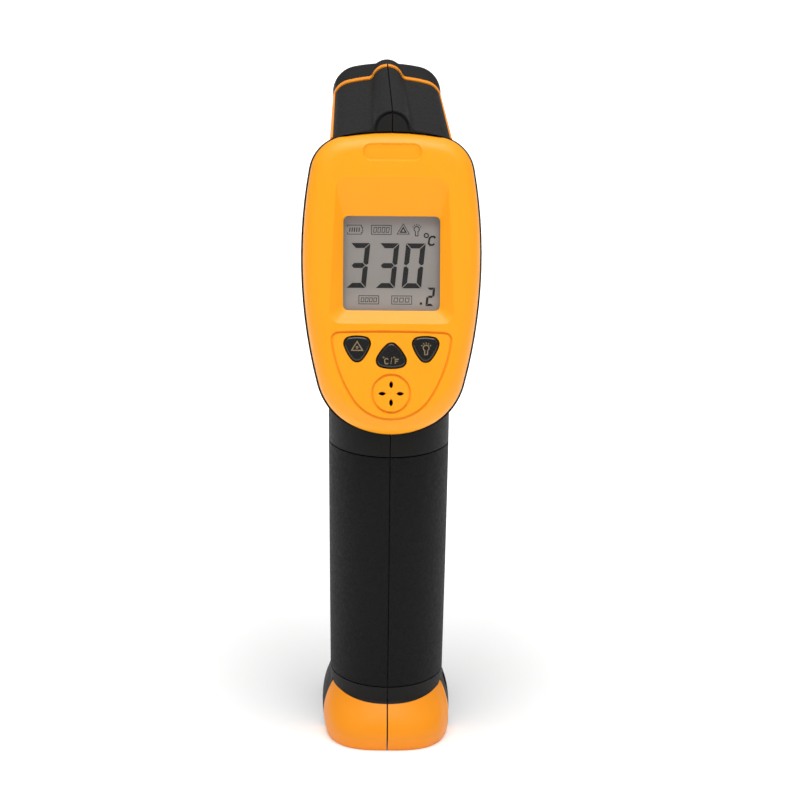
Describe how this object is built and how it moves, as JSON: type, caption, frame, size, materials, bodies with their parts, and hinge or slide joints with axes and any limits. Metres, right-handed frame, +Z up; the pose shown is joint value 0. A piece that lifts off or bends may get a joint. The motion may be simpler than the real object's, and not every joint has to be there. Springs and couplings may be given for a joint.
{
  "type": "infrared thermometer",
  "caption": "Pistol-grip non-contact infrared thermometer with LCD, keypad, trigger, lens nose and a battery door in the handle.",
  "frame": {"origin": "on the ground at the middle of the overall box, under the foot", "axes": "+Z up; +Y towards the nose; the display faces -Y; +X to the right seen from behind"},
  "size_m": [0.043, 0.101, 0.1534],
  "materials": {
    "orange_abs": "satin moulded plastic, fine spark texture",
    "black_cover": "matte moulded elastomer",
    "grip_texture": "leather-grained elastomer",
    "trigger_orange": "satin moulded plastic",
    "key_rubber": "smooth silicone, slight gloss",
    "clear_window": "clear acrylic",
    "lcd_cell": "grey reflective liquid crystal cell",
    "light_guide": "white acrylic",
    "elastomer": "striped conductive elastomer",
    "circuit_board": "green solder mask",
    "chip_black": "moulded black",
    "steel": "zinc plated",
    "sensor_can": "nickel plated can",
    "brass": "turned",
    "lens_polymer": "milky polyethylene",
    "inner_black": "moulded black",
    "battery_can": "printed metal case",
    "red_insulation": "PVC",
    "black_insulation": "PVC",
    "grey_insulation": "PVC"
  },
  "bodies": {
    "housing": {"shell_left": "orange_abs", "shell_right": "orange_abs", "rear_bezel": "orange_abs", "cover_left": "black_cover", "cover_right": "black_cover", "nose_ring": "black_cover", "grip_left": "grip_texture", "grip_right": "grip_texture", "keypad_mat": "key_rubber", "display_window": "clear_window", "laser_window": "clear_window", "lcd_glass": "lcd_cell", "lcd_backlight": "light_guide", "lcd_connectors": "elastomer", "main_board": "circuit_board", "sensor_board": "circuit_board", "microcontroller": "chip_black", "sensor_amplifier": "chip_black", "trigger_switch": "chip_black", "buzzer": "chip_black", "board_screws": "steel", "housing_screws": "steel", "trigger_pin": "steel", "door_hinge_pin": "steel", "trigger_spring": "steel", "thermopile_sensor": "sensor_can", "laser_module": "brass", "lens": "lens_polymer", "lens_retainer": "inner_black", "optic_tube": "inner_black", "battery": "battery_can", "battery_snap": "inner_black", "battery_lead_red": "red_insulation", "battery_lead_black": "black_insulation", "sensor_cable": "grey_insulation", "laser_lead": "grey_insulation"},
    "trigger": {"trigger": "trigger_orange"},
    "plunger": {"switch_plunger": "light_guide"},
    "key_laser": {"key_laser": "key_rubber"},
    "key_unit": {"key_unit": "key_rubber"},
    "key_light": {"key_light": "key_rubber"},
    "battery_door": {"battery_door": "black_cover"}
  },
  "joints": [
    {"name": "trigger_pull", "type": "hinge", "parent": "housing", "child": "trigger", "pos_m": [0, -0.0048, 0.107], "axis": [-1, 0, 0], "range_deg": [0, 7], "stiffness_Nm_per_rad": 0.4, "springref_deg": -8.59, "deforming": ["trigger_spring"]},
    {"name": "plunger_slide", "type": "slide", "parent": "housing", "child": "plunger", "axis": [0, -1, 0], "range_m": [0, 0.00105]},
    {"name": "key_laser_press", "type": "slide", "parent": "housing", "child": "key_laser", "axis": [0, 0.9548, -0.2974], "range_m": [0, 0.0006], "stiffness_N_per_m": 1500, "springref_m": -0.0002},
    {"name": "key_unit_press", "type": "slide", "parent": "housing", "child": "key_unit", "axis": [0, 0.9548, -0.2974], "range_m": [0, 0.0006], "stiffness_N_per_m": 1500, "springref_m": -0.0002},
    {"name": "key_light_press", "type": "slide", "parent": "housing", "child": "key_light", "axis": [0, 0.9548, -0.2974], "range_m": [0, 0.0006], "stiffness_N_per_m": 1500, "springref_m": -0.0002},
    {"name": "door_swing", "type": "hinge", "parent": "housing", "child": "battery_door", "pos_m": [0, -0.0088, 0.0186], "axis": [-1, 0, 0], "range_deg": [0, 60]}
  ],
  "couplings": [
    {"joint": "plunger_slide", "follows": "trigger_pull", "m_per_rad": 0.008}
  ]
}
